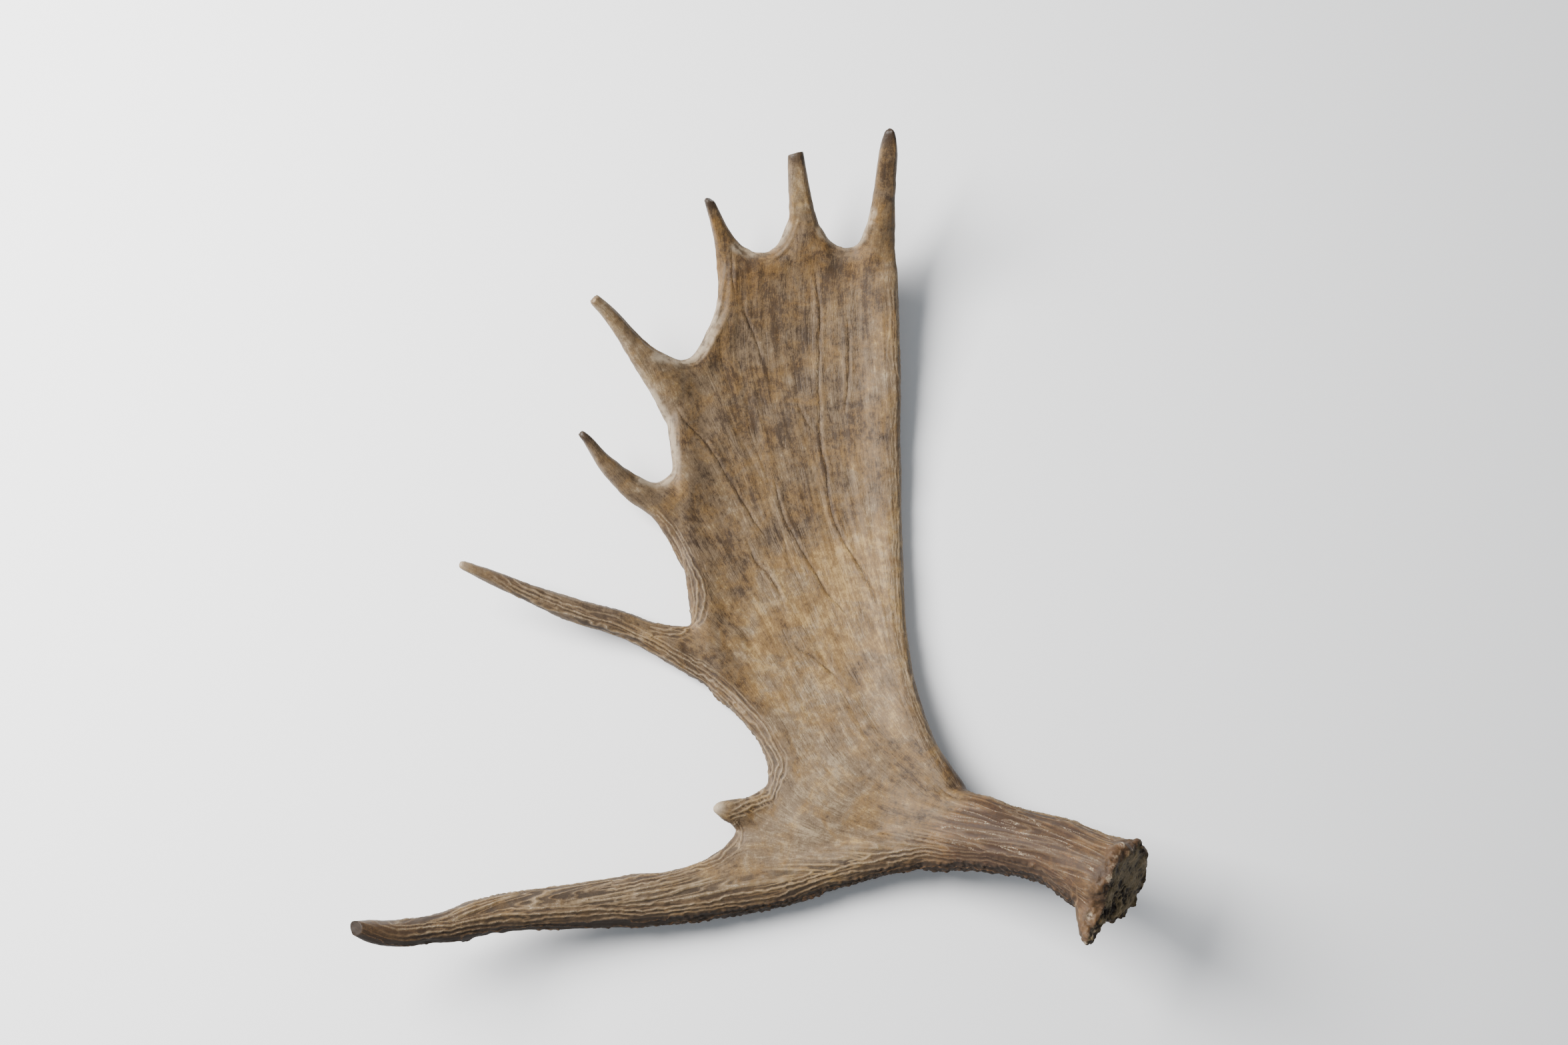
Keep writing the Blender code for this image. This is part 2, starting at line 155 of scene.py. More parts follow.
# Edges of the bays, with a bleached lip.
BAY_EDGES = (
    ((-40, 233), (-27, 228), (-16, 231), (-5, 239), (2, 251)),
    ((32, 247), (41, 239), (51, 235), (61, 237), (69, 247), (75, 262)),
    ((-107, 141), (-91, 137), (-81, 137), (-69, 146), (-63, 156), (-59, 167), (-58, 185)),
    ((-113, 112), (-100, 89), (-95, 72), (-94, 56), (-94, 43), (-98, 36), (-108, 34), (-121, 37)),
)
VEINS = (
    ((23, 223), (29, 193), (31, 173), (29, 133), (31, 90), (30, 71), (35, 53), (36, 38),
     (41, 5), (50, -16), (61, -32), (69, -46), (77, -64), (82, -80)),
    ((-9, 44), (-5, 24), (-1, 5), (8, -11), (17, -27), (27, -42), (36, -59), (47, -71), (59, -85)),
    ((-94, 104), (-86, 88), (-72, 74), (-63, 65), (-52, 46), (-38, 24), (-29, 7), (-10, -20)),
    ((-34, -9), (-24, -34), (-11, -46), (-3, -60), (1, -76)),
    ((64, -72), (73, -81), (80, -99)),
    ((-37, 196), (-32, 173), (-24, 156), (-19, 140), (-13, 125)),
    ((-47, 178), (-46, 153)),
    ((52, 182), (55, 163), (55, 125), (51, 87)),
    ((8, 110), (16, 90), (29, 72)),
    ((2, -99), (21, -112), (32, -120), (49, -135), (55, -140)),
    ((83, -120), (85, -150)),
    ((-45, 240), (-43, 207), (-41, 186)),
)
# Stained places seen from the front: x, y, reach, then warmth, greyness and brownness.
STAINS = (
    (20, -100, 62, 1.7, -0.6, -0.6),
    (60, -30, 50, 1.2, -0.3, -0.4),
    (-20, -150, 50, -0.6, 1, 0),
    (10, -240, 60, -0.5, 1.5, -1.3),
    (-28, 214, 24, 0.8, 0, 1.6),
    (72, 200, 20, 0.8, 0, 1.4),
    (20, 215, 60, 0.2, 0.2, 1.1),
    (190, -268, 75, 0.8, 0, 2.5),
    (205, -295, 50, 0.4, 0, 2.2),
    (-50, 10, 50, -0.5, 0.7, 0.8),
    (0, 120, 100, -0.1, 0.3, 1.55),
    (20, 10, 60, 0, 0, 0.8),
    (-75, 95, 30, -0.3, 0.8, 0.8),
    (-135, 145, 45, -1.4, 1.4, -2.4),
    (7, 277, 28, -0.2, 0.8, -1.4),
    (-160, 70, 45, -1, 1.2, 0),
    (-200, -60, 80, -1.2, 1.6, -0.4),
    (88, 285, 40, 0.2, 0.3, 1.2),
    (142, -198, 30, 1.8, 0, 0.8),
    (-320, -335, 60, 0, 0.3, 3.6),
    (-150, -315, 90, -1.2, 1.4, 0.3),
    (100, -20, 40, 0.4, 0, -1),
)
RIGHT_RIM_STAIN = (-0.5, 0.9, -1.6)
SIDE_RIM_STAIN = (0.3, 0.2, 1.5)

# Streaks along the growth: width and length in millimetres, and seed.
BROAD = (15, 190, 11)
COARSE = (7.2, 80, 23)
FINE = (4.4, 40, 37)
SWAY = (9, 60, 83)
STRAY_VEINS = (24, 170, 53)
STRAY_PLACES = (34, 120, 61)
# Half widths and heights of the relief, millimetres.
CREST_WIDTH = 1.2
RIM_CREST_WIDTH = 0.95
FINE_CREST_WIDTH = 0.9
CREST_HEIGHT = 1.25
FINE_CREST_HEIGHT = 0.6
SWELL_HEIGHT = 0.6
TROUGH_DEPTH = 0.5
PEARL_HEIGHT = 1.5
# Nodes' points nearer than the gap are moved past each other by the shift.
FORK_GAP = 0.6
FORK_SHIFT = 0.7
# Smoothing: the step in and the step out of each pass, then passes for each field.
STEP_IN = 0.60
STEP_OUT = 0.62
FLOW_PASSES = 16
SPREAD_PASSES = 34
GROWTH_PASSES = 4
LIMB_PASSES = 14
BROAD_PASSES = 220
SPREAD_LIMITS = (0.06, 2)
# Growth is solved in at most these rounds, or until this share of the load is left.
MOST_ROUNDS = 2500
LOAD_LEFT = 1e-5
FAR = 1e9
# The key light, in metres from the middle of the upright antler.
KEY_PLACE = (-1.10, 0.70, 1.45)


# ---- settings


class AntlerSkinSettings(bpy.types.PropertyGroup):
    voxel: FloatProperty(
        name="Skin Grid", description="Grid that the skin is fused on", default=1.2 * MM, unit="LENGTH"
    )
    smooth_passes: IntProperty(
        name="Smoothing", description="Passes that round the facets of the solids", default=49
    )


def tint(name, description, colour):
    return FloatVectorProperty(name=name, description=description, default=colour, subtype="COLOR")


class AntlerBoneSettings(bpy.types.PropertyGroup):
    dark: tint("Dark", "Stained bone and grain", (0.040, 0.023, 0.011))
    tan: tint("Tan", "Clean bone", (0.130, 0.083, 0.0405))
    pale: tint("Pale", "Worn bone", (0.250, 0.178, 0.095))
    warm: tint("Warm", "Tint of warm patches", (1.10, 0.96, 0.63))
    cool: tint("Cool", "Tint of weathered patches", (0.88, 0.94, 1.12))
    rust: tint("Rust", "Tint of red-brown stain", (0.92, 0.67, 0.50))
    # Amber is also the painted highlight on crests in the undersides' painted shade, and the colour of
    # raw bone.
    amber: tint("Amber", "Lit crests of the undersides", (0.115, 0.058, 0.024))
    crest: tint("Crest", "Worn crests and bleached lips", (0.37, 0.30, 0.215))
    # Groove is also the painted shade of the undersides and of the seal's low places.
    groove: tint("Groove", "Dirt in grooves and pits", (0.016, 0.0095, 0.0055))
    seal: tint("Seal", "Porous face under the burr", (0.125, 0.092, 0.046))


class AntlerStageSettings(bpy.types.PropertyGroup):
    floor: tint("Floor", "Colour of the plain floor", (0.88, 0.885, 0.90))


# ---- arrays


def read_vectors(data, name):
    vectors = np.empty(len(data) * 3, np.float32)
    data.foreach_get(name, vectors)
    return vectors.reshape(-1, 3).astype(float)


def write_points(mesh, points):
    mesh.vertices.foreach_set("co", points.astype(np.float32).ravel())
    mesh.update()


def stand_up(points):
    """Points of the lying antler in the upright frame."""
    return points @ BACK[:3, :3].T + BACK[:3, 3] / MM


def far_from(points, spot):
    return norm(points - np.array(spot), axis=1)


def dot(a, b):
    return np.einsum("ij,ij->i", a, b)


def unit(vectors):
    return vectors / np.maximum(norm(vectors, axis=1), 1e-12)[:, None]


def ramp(value, low, high):
    """0 at low, 1 at high, smooth between; low may be the greater."""
    t = np.clip((value - low) / (high - low), 0, 1)
    return t * t * (3 - 2 * t)


class Net:
    """The edges of a mesh, for sums over each vertex's neighbours."""

    def __init__(self, mesh):
        edges = np.empty(len(mesh.edges) * 2, np.int32)
        mesh.edges.foreach_get("vertices", edges)
        self.a, self.b = edges.reshape(-1, 2).T
        self.count = len(mesh.vertices)
        ones = np.ones(len(self.a))
        self.degree = self.gather(ones, ones)

    def gather(self, to_a, to_b):
        """Per-vertex sums of one value per edge end."""
        total = np.bincount(self.a, to_a, self.count)
        return total + np.bincount(self.b, to_b, self.count)

    def gather_along(self, amount, along):
        """Per-vertex sums of an amount per edge times the edge's way, for x, y and z."""
        return [self.gather(amount * way, amount * way) for way in along.T]

    def mean(self, field):
        if field.ndim == 1:
            return self.gather(field[self.b], field[self.a]) / self.degree
        return np.stack([self.mean(column) for column in field.T], axis=1)

    def blur(self, field, passes):
        for _ in range(passes):
            field = 0.5 * field + 0.5 * self.mean(field)
        return field

    def crest_distance(self, points, field, least):
        """Signed distance to the nearest zero line of a field, in millimetres."""
        along = points[self.b] - points[self.a]
        change = field[self.b] - field[self.a]
        square = dot(along, along)
        base = self.gather(square, square) * 0.5
        slope = [total / base for total in self.gather_along(change, along)]
        return field / np.maximum(norm(slope, axis=0), least)

    def relax(self, points, passes):
        """Rounds the facets of a shape and keeps its size."""
        smooth = points
        for _ in range(passes):
            smooth = smooth + STEP_IN * (self.mean(smooth) - smooth)
            smooth = smooth - STEP_OUT * (self.mean(smooth) - smooth)
        return smooth + self.blur(points - smooth, passes // 2)


# ---- noise


def lattice_noise(points, seed):
    """Smooth noise of about -1 to 1, one bump per unit."""
    rng = np.random.default_rng(seed)
    slopes = unit(rng.normal(size=(256, 3)))
    cell = np.floor(points).astype(np.int64)
    part = points - cell
    fade = part ** 3 * (part * (part * 6 - 15) + 10)
    total = np.zeros(len(points))
    for corner in range(8):
        step = np.array([corner & 1, (corner >> 1) & 1, corner >> 2])
        spot = cell + step
        key = spot[:, 0] * 73856093 ^ spot[:, 1] * 19349663 ^ spot[:, 2] * 83492791
        key = (key ^ (key >> 13) ^ seed * 7919) * 1274126177 & 0x7FFFFFFF
        slope = slopes[(key ^ (key >> 11)) & 255]
        weight = np.prod(np.where(step, fade, 1 - fade), axis=1)
        total += weight * dot(slope, part - step)
    return total * 1.6


class Growth:
    """Growth coordinates of every vertex: ring place (2), run, and spread."""

    def __init__(self, ring, run, spread):
        self.ring = ring
        self.run = run
        self.spread = spread

    def streaks(self, width, length, seed):
        """Noise drawn out along the growth, about width millimetres across."""
        level = np.log2(1 / (width * self.spread))
        whole = np.floor(level)
        rest = level - whole
        run = self.run / length + seed * 3.7
        total = np.zeros(len(rest))
        for octave, weight in ((0, 1 - rest), (1, rest)):
            place = self.ring * (2 ** (whole + octave))[:, None]
            total += weight * lattice_noise(np.column_stack([place, run]), seed)
        return total / np.sqrt(rest ** 2 + (1 - rest) ** 2)


# ---- skin


def mesh_of(bm, name):
    mesh = bpy.data.meshes.new(name)
    bm.to_mesh(mesh)
    bm.free()
    return mesh


def placed(name, data):
    obj = bpy.data.objects.new(name, data)
    bpy.context.scene.collection.objects.link(obj)
    return obj


def modify(obj, kind, **values):
    """Gives an object the mesh that one modifier makes of its own."""
    modifier = obj.modifiers.new(kind, kind)
    for name, value in values.items():
        setattr(modifier, name, value)
    graph = bpy.context.evaluated_depsgraph_get()
    mesh = bpy.data.meshes.new_from_object(obj.evaluated_get(graph))
    obj.modifiers.clear()
    obj.data = mesh


def search_tree(spots):
    tree = kdtree.KDTree(len(spots))
    for index, spot in enumerate(spots):
        tree.insert(spot, index)
    tree.balance()
    return tree


def fused_skin(voxel):
    """One closed skin over the three solids, the forks' gaps closed."""
    parts = []
    for name in NODES:
        bm = bmesh.new()
        bm.from_mesh(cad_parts[name].data)
        bmesh.ops.remove_doubles(bm, verts=bm.verts[:], dist=1e-6)
        parts.append(bm)
    trees = [search_tree([vert.co for vert in bm.verts]) for bm in parts]
    skin = bmesh.new()
    for own, bm in enumerate(parts):
        shifts = {}
        for vert in bm.verts:
            for other, tree in enumerate(trees):
                spot, _, distance = tree.find(vert.co)
                if other != own and distance < FORK_GAP * MM:
                    shifts[vert] = (spot - vert.co).normalized() * FORK_SHIFT * MM
        for vert, shift in shifts.items():
            vert.co += shift
        loose = mesh_of(bm, "part")
        skin.from_mesh(loose)
        bpy.data.meshes.remove(loose)
    mesh = mesh_of(skin, "skin")
    obj = placed("skin", mesh)
    modify(obj, "REMESH", mode="VOXEL", voxel_size=voxel)
    bpy.data.meshes.remove(mesh)
    return obj


def potential(net, source, sinks):
    """How growth flows from the burr to the tips: high at the burr, low at the tips."""
    load = source / source.sum()
    for sink, share in sinks:
        load = load - share * sink / sink.sum()
    load -= load.mean()
    value = np.zeros(net.count)
    rest = load.copy()
    step = rest.copy()
    size = rest @ rest
    for _ in range(MOST_ROUNDS):
        outflow = net.degree * step - net.gather(step[net.b], step[net.a])
        pace = size / (step @ outflow)
        value += pace * step
        rest -= pace * outflow
        new_size = rest @ rest
        if new_size < LOAD_LEFT * (load @ load):
            break
        step = rest + (new_size / size) * step
        size = new_size
    return value


def flow_direction(net, points, normals, value):
    """Unit direction of growth in the skin at every vertex."""
    along = points[net.b] - points[net.a]
    drop = (value[net.a] - value[net.b]) / dot(along, along)
    flow = unit(np.stack(net.gather_along(drop, along), axis=1))
    for _ in range(FLOW_PASSES):
        flow = unit(net.mean(flow) + flow)
        flow -= normals * dot(flow, normals)[:, None]
    return unit(flow)


def growth_coordinates(net, points, flow, value, ring, run, fixed):
    """Carries the burr's ring places and the run from the burr down the flow."""
    order = np.argsort(-value, kind="stable")
    ends = np.concatenate([net.a, net.b])
    others = np.concatenate([net.b, net.a])
    sort = np.argsort(ends, kind="stable")
    starts = np.searchsorted(ends[sort], np.arange(net.count + 1)).tolist()
    others = others[sort]
    step = points[others] - points[ends[sort]]
    length = norm(step, axis=1)
    fall = (value[others] - value[ends[sort]]) / length ** 2
    advance = np.abs(dot(step, flow[ends[sort]]))
    arrays = (others, fall, advance, fixed, run, *ring.T)
    others, fall, advance, fixed, t, p, q = (array.tolist() for array in arrays)
    for i in order.tolist():
        if fixed[i]:
            continue
        weight = sum_p = sum_q = sum_t = 0
        for k in range(starts[i], starts[i + 1]):
            if fall[k] > 0:
                j = others[k]
                weight += fall[k]
                sum_p += fall[k] * p[j]
                sum_q += fall[k] * q[j]
                sum_t += fall[k] * (t[j] + advance[k])
        if weight > 0:
            p[i] = sum_p / weight
            q[i] = sum_q / weight
            t[i] = sum_t / weight
    return np.column_stack([p, q]), np.array(t)


def ring_spread(net, points, normals, flow, ring):
    """How fast the ring place changes across the growth, ring mm per skin mm."""
    across = np.cross(normals, flow)
    step = points[net.b] - points[net.a]
    turn = ring[net.b] - ring[net.a]
    reach_a = dot(step, across[net.a])
    reach_b = dot(step, across[net.b])
    base = net.gather(reach_a ** 2, reach_b ** 2)
    rise = [net.gather(turn[:, k] * reach_a, turn[:, k] * reach_b) / base for k in (0, 1)]
    return net.blur(np.hypot(*rise), SPREAD_PASSES)


def rounded(line):
    """A chain of points with its corners cut off twice."""
    line = np.array(line, float)
    for _ in range(2):
        near = 0.75 * line[:-1] + 0.25 * line[1:]
        far = 0.25 * line[:-1] + 0.75 * line[1:]
        line = np.vstack([line[:1], np.stack([near, far], 1).reshape(-1, 2)[1:-1], line[-1:]])
    return line


def line_distance(points, line):
    """Signed distance in the seen plane from every point to a rounded line."""
    line = rounded(line)
    best = np.full(len(points), FAR)
    for start, end in zip(line, line[1:]):
        way = end - start
        t = np.clip(((points - start) @ way) / (way @ way), 0, 1)
        gap = points - start - t[:, None] * way
        distance = norm(gap, axis=1)
        side = np.where(gap[:, 1] * way[0] - gap[:, 0] * way[1] > 0, 1, -1)
        best = np.where(distance < np.abs(best), distance * side, best)
    return best


def near_line(points, line, outer, inner):
    return ramp(np.abs(line_distance(points, line)), outer, inner)


def lumps(points, where, spacing, radius, rng):
    """Irregular rounded lumps on scattered points: up to 1 on a lump, 0 off it."""
    cells = {}
    spots = []
    for index in rng.permutation(np.flatnonzero(where)):
        spot = points[index]
        cell = (spot // spacing).astype(int)
        around = [
            other
            for step in np.ndindex(3, 3, 3)
            for other in cells.get(tuple(cell + step - 1), ())
        ]
        if all(np.dot(spot - other, spot - other) > spacing ** 2 for other in around):
            cells.setdefault(tuple(cell), []).append(spot)
            spots.append(spot)
    tree = search_tree(spots)
    sizes = rng.uniform(0.6, 1.15, len(spots)) * radius
    tops = rng.uniform(0.45, 1, len(spots))
    bent = points + 0.35 * radius * np.column_stack(
        [lattice_noise(points / radius, seed) for seed in (101, 102, 103)]
    )
    height = np.zeros(len(points))
    for index in np.flatnonzero(where):
        _, k, distance = tree.find(bent[index])
        reach = distance / sizes[k]
        if reach < 1:
            height[index] = (1 - reach ** 2) ** 1.2 * tops[k]
    return height


def store(mesh, name, *fields):
    """Keeps one value or a vector of three with every vertex."""
    values = np.column_stack(fields)
    kind, key = ("FLOAT", "value") if values.shape[1] == 1 else ("FLOAT_VECTOR", "vector")
    attribute = mesh.attributes.new(name, kind, "POINT")
    attribute.data.foreach_set(key, values.astype(np.float32).ravel())


def beads(height, points, seed, depth):
    """Breaks a crest into a row of beads."""
    return height * (1 - depth + depth * np.clip(lattice_noise(points / 4.2, seed) * 1.6, -1, 1))


def flatten_end(points, upright, spot, facing, reach):
    """Cuts a tip flat; gives the points and where the flat is."""
    facing = np.array(facing) / norm(facing)
    rise = (upright - np.array(spot)) @ facing + 0.7 * lattice_noise(upright / 5, 88)
    near = far_from(upright, spot) < reach
    turn = np.array(LIE.to_3x3()) @ facing
    points = points - np.where(near & (rise > 0), rise, 0)[:, None] * turn
    return points, (near & (rise > 0.25)).astype(float)


def rim_ridges(seen, facing, sway):
    """A field that is 0 on the ridges beside the drawn edges, and the band that they fill."""
    still = np.column_stack([seen, seen[:, 0] * 0])
    place = seen.copy()
    for size, reach in ((26, 2.6), (6.5, 1)):
        place += reach * np.column_stack([lattice_noise(still / size, seed) for seed in (81, 82)])
    turn = np.zeros(len(seen))
    band = np.zeros(len(seen))
    for edge, spacing, width, strength in RIDGED_EDGES:
        inside = line_distance(place, edge)
        there = strength * ramp(inside, width + 3, width - 1) * (inside > -9)
        for end in edge[0], edge[-1]:
            there *= ramp(far_from(seen, end), 3, 24)
        turn = np.where(there > band, inside / spacing - 0.5, turn)
        band = np.maximum(band, there)
    return np.sin(np.pi * (turn + sway)), band * ramp(facing, -0.25, 0.15)


def drawn_veins(seen):
    """Distance to the veins drawn on the front, and how clearly each place shows them."""
    still = np.column_stack([seen / 17, seen[:, 0] * 0])
    place = seen + 1.1 * np.column_stack([lattice_noise(still, seed) for seed in (91, 92)])
    nearest = np.full(len(seen), 99)
    clear = np.zeros(len(seen))
    for line in VEINS:
        distance = line_distance(place, line)
        ends = np.minimum(far_from(place, line[0]), far_from(place, line[-1]))
        closer = np.abs(distance) < np.abs(nearest)
        nearest = np.where(closer, distance, nearest)
        clear = np.where(closer, 0.15 + 0.85 * ramp(ends, 1, 24), clear)
    return nearest, clear


class Burr:
    """Where every vertex lies by the burr: height over the seal's plane, and off its axis."""

    def __init__(self, upright):
        centre = np.array(SEAL_CENTRE)
        axis = np.array(SEAL_NORMAL) / norm(SEAL_NORMAL)
        self.rise = (upright - centre) @ axis
        self.spoke = upright - centre - self.rise[:, None] * axis
        self.near = far_from(upright, centre) < BURR_REACH
        side = unit(np.cross(axis, [[0, 0, 1]]))[0]
        self.right = self.spoke @ side
        self.up = self.spoke @ np.cross(axis, side)
        self.seal = ramp(self.rise, -1.5, 1) * self.near
        self.collar = ramp(self.rise, -16, -8) * self.near


def growth_of(net, points, normals, burr, sinks):
    """The direction of growth in the skin, and the growth coordinates."""
    source = (burr.rise > GROWTH_START) & burr.near
    value = potential(net, source.astype(float), sinks)
    flow = flow_direction(net, points, normals, value)
    ring = BURR_RADIUS * unit(np.column_stack([burr.right, burr.up]))
    run = GROWTH_START - burr.rise
    ring, run = growth_coordinates(net, points, flow, value, ring, run, source)
    ring = net.blur(ring, GROWTH_PASSES)
    run = net.blur(run, GROWTH_PASSES)
    spread = np.clip(ring_spread(net, points, normals, flow, ring), *SPREAD_LIMITS)
    return flow, Growth(ring, run, spread)


def limb_zone(net, seen, facing, behind):
    """1 on the ridged limbs, 0 on the smooth palm."""
    limb = np.zeros(len(seen))
    for outer, inner, strength, least_x, line in LIMBS_BEHIND:
        beside = strength * near_line(seen, line, outer, inner)
        limb = np.maximum(limb, beside * (seen[:, 0] > least_x))
    limb = behind * limb + (1 - behind) * ramp(line_distance(seen, LIMB_LINE), 6, -6)
    return net.blur(limb, LIMB_PASSES)


def vein_fields(net, points, seen, facing, growth, plain):
    """Distance to the nearest vein, how clear it is, its groove and the banks beside it."""
    drawn, clear = drawn_veins(seen)
    clear = clear * ramp(facing, 0.2, 0.5)
    stray = net.crest_distance(points, growth.streaks(*STRAY_VEINS), 0.02)
    stray_clear = ramp(growth.streaks(*STRAY_PLACES), 0.15, 0.55) * ramp(growth.run, 90, 150)
    stray_clear *= 0.35 + 0.65 * ramp(facing, 0.1, -0.3)
    drawn_wins = clear * np.exp(-np.abs(drawn) / 6) > stray_clear * np.exp(-np.abs(stray) / 6)
    gap = np.where(drawn_wins, drawn, stray)
    clear = np.where(drawn_wins, clear, stray_clear) * plain * ramp(np.abs(gap), 7, 3.5)
    groove = np.exp(-(gap / 1.3) ** 2) * clear
    bank = np.exp(-((np.abs(gap) - 3.2) / 1.6) ** 2) * clear
    return gap, clear, groove, bank


def raise_burr(height, points, burr, rng):
    """Adds the knobs of the burr and the rough seal; gives the knobs and the seal's floor."""
    beside = burr.seal < 0.9
    round_burr = ramp(burr.rise, -12, -6) * burr.near
    big = lumps(points, (round_burr > 0) & beside, 9.5, 7, rng)
    small = lumps(points, (burr.collar > 0.1) & beside, 4.6, 3.2, rng)
    height += round_burr * (2.7 * big + 1.3 * small - 1)
    rugged = ramp(lattice_noise(points / 24, 75) + 0.9 * burr.right / 35, -0.1, 0.35)
    pit = lumps(points, burr.seal > 0.4, 4.2, 2.9, rng) * rugged
    floor = 1.5 * lattice_noise(points / 13, 73)
    floor += 0.7 * lattice_noise(points / 5.5, 74) * (0.4 + rugged)
    floor += 0.3 * lattice_noise(points / 2.6, 71) - 1.5 * pit
    off_axis = norm(burr.spoke, axis=1)
    height += burr.seal * (floor - 3 * ramp(off_axis, 32, 14))
    return np.clip(0.7 * big * round_burr + 0.5 * small * round_burr, 0, 1), floor


def stain_field(seen):
    """Warmth, greyness and brownness of every vertex."""
    stain = np.zeros((len(seen), 3))
    for x, y, reach, *tint in STAINS:
        stain += np.exp(-(far_from(seen, (x, y)) / reach) ** 2)[:, None] * np.array(tint)
    stain += near_line(seen, RIGHT_RIM, 13, 5)[:, None] * np.array(RIGHT_RIM_STAIN)
    beside = ramp(np.abs(line_distance(seen, SIDE_RIM) - 20), 9, 3)
    return stain + beside[:, None] * np.array(SIDE_RIM_STAIN)


def grow_skin(settings):
    skin = fused_skin(settings.voxel)
    mesh = skin.data
    net = Net(mesh)
    points = read_vectors(mesh.vertices, "co") / MM
    points = net.relax(points, settings.smooth_passes)
    write_points(mesh, points * MM)
    normals = read_vectors(mesh.vertex_normals, "vector")

    upright = stand_up(points)
    facing = (normals @ BACK[:3, :3].T)[:, 2]
    seen = upright[:, :2] * (CAMERA_REACH / (CAMERA_REACH - upright[:, 2:]))
    burr = Burr(upright)
    from_tips = {name: far_from(upright, tip[0]) for name, tip in TIPS.items()}
    sinks = []
    to_tip = np.full(len(points), FAR)
    ends = np.zeros(len(points))
    for name, (_, share, end, *_) in TIPS.items():
        distance = from_tips[name]
        sinks.append(((distance < max(7, distance.min() + 2)).astype(float), share))
        ends += end * ramp(distance, 14, 3)
        if name != "spur":
            to_tip = np.minimum(to_tip, distance)
    flow, growth = growth_of(net, points, normals, burr, sinks)

    # The tips are drawn out, and the rims are where the skin bulges.
    drawn_out = np.zeros((len(points), 3))
    height = np.zeros(len(points))
    for name, (_, _, _, longer, thicker) in TIPS.items():
        distance = from_tips[name]
        way = flow[distance < 20].sum(axis=0)
        drawn_out += ramp(distance, 34, 0)[:, None] * longer * way / norm(way)
        height += thicker * ramp(distance, 60, 8)
    blurred = net.blur(points, BROAD_PASSES)
    rim = ramp(-dot(blurred - points, normals), 1, 3.2)

    # Zones, from 0 outside them to 1 inside.
    behind = ramp(facing, 0.2, -0.2)
    limb = limb_zone(net, seen, facing, behind)
    beam_top = limb * ramp(facing, -0.1, 0.5) * ramp(seen[:, 0], 85, 150)
    # Painted shade: under marks the undersides and shade adds a band above the lower edge; the bone's
    # colour darkens both, partly as grime. Pearls also grow on the undersides.
    under = ramp(normals @ np.array(LIE.to_3x3() @ Vector((0, -0.98, -0.2))), 0.08, 0.62)
    above_edge = line_distance(seen, LOWER_EDGE)
    shade = ramp(above_edge, 15, 2) * (above_edge > -9) * ramp(facing, -0.3, 0.1)
    shade = np.maximum(under, 0.8 * shade)
    ridge_field, band = rim_ridges(seen, facing, 0.7 * growth.streaks(*SWAY))
    rim_gap = net.crest_distance(points, ridge_field, 0.25)
    lip = np.zeros(len(points))
    for edge in BAY_EDGES:
        lip = np.maximum(lip, near_line(seen, edge, 7, 1.5))
    lip *= ramp(facing, -0.5, 0)
    tip = ramp(to_tip, 60, 15)
    palm_rim = rim * ramp(upright[:, 1], 240, 120) * (1 - limb) * behind
    palm_rim *= ramp(to_tip, 70, 150)
    spur_end = ramp(from_tips["spur"], 13, 6)
    ridged = np.clip(np.maximum(limb, 0.9 * band) + 0.7 * palm_rim, 0, 1)
    ridged *= (1 - 0.8 * tip) * (1 - burr.collar) * (1 - spur_end)
    plain = (1 - limb) * (1 - rim) * (1 - tip) * (1 - spur_end)

    # Ridges, swellings and veins.
    broad = growth.streaks(*BROAD)
    coarse = growth.streaks(*COARSE)
    fine = growth.streaks(*FINE)
    crest_gap = net.crest_distance(points, coarse, 0.05)
    fine_gap = net.crest_distance(points, fine, 0.09)
    rough = 0.30 + 0.30 * shade
    crest = (1 - band) * np.exp(-(crest_gap / CREST_WIDTH) ** 2)
    crest = beads(crest + band * np.exp(-(rim_gap / RIM_CREST_WIDTH) ** 2), points, 43, rough)
    crest_fine = np.exp(-(fine_gap / FINE_CREST_WIDTH) ** 2) * (1 - 0.6 * band)
    crest_fine = beads(crest_fine, points, 47, rough)
    relief = CREST_HEIGHT * crest + FINE_CREST_HEIGHT * crest_fine
    relief = relief + SWELL_HEIGHT * coarse * (1 - band) - TROUGH_DEPTH
    height += ridged * relief * (1 - 0.5 * beam_top * (1 - shade))
    height += 0.6 * rim * (1 - tip) * lattice_noise(points / 9, 77)
    height += (1 - ridged) * (1 - burr.collar) * (0.55 * broad + 0.42 * coarse + 0.17 * fine)
    vein_gap, vein_clear, groove, bank = vein_fields(net, points, seen, facing, growth, plain)
    height += 0.26 * bank - 0.50 * groove + 0.5 * lip

    # Pearls, the burr, hollows and fillets.
    rng = np.random.default_rng(5)
    knobbly = ramp(seen[:, 0], -150, -60)
    pearled = (limb * under * knobbly > 0.25) & (to_tip > 60) & (burr.collar < 0.5)
    pearl = lumps(points, pearled, 4.8, 3.3, rng)
    height += PEARL_HEIGHT * pearl * np.clip(limb * under * 1.4, 0, 1) * knobbly
    knob, floor = raise_burr(height, points, burr, rng)
    hollow = np.zeros(len(points))
    for spot, size, depth in HOLLOWS:
        cup = ramp(far_from(upright, spot), size, 0.3 * size)
        hollow = np.maximum(hollow, cup)
        height -= depth * cup
    for x, y, reach, depth, softness in FILLETS:
        near = np.exp(-(far_from(seen, (x, y)) / reach) ** 2)
        height += depth * near * ramp(np.abs(facing), 0.9, 0.5)
        drawn_out += softness * near[:, None] * (blurred - points)

    points = points + normals * height[:, None] + drawn_out
    upright = stand_up(points)
    raw = np.zeros(len(points))
    for spot, face, size, rawness in FLAT_ENDS:
        points, there = flatten_end(points, upright, spot, face, size)
        raw = np.where(there > 0, rawness, raw)
    points[:, 2] = np.maximum(points[:, 2], 0)
    write_points(mesh, points * MM)
    mesh.shade_smooth()

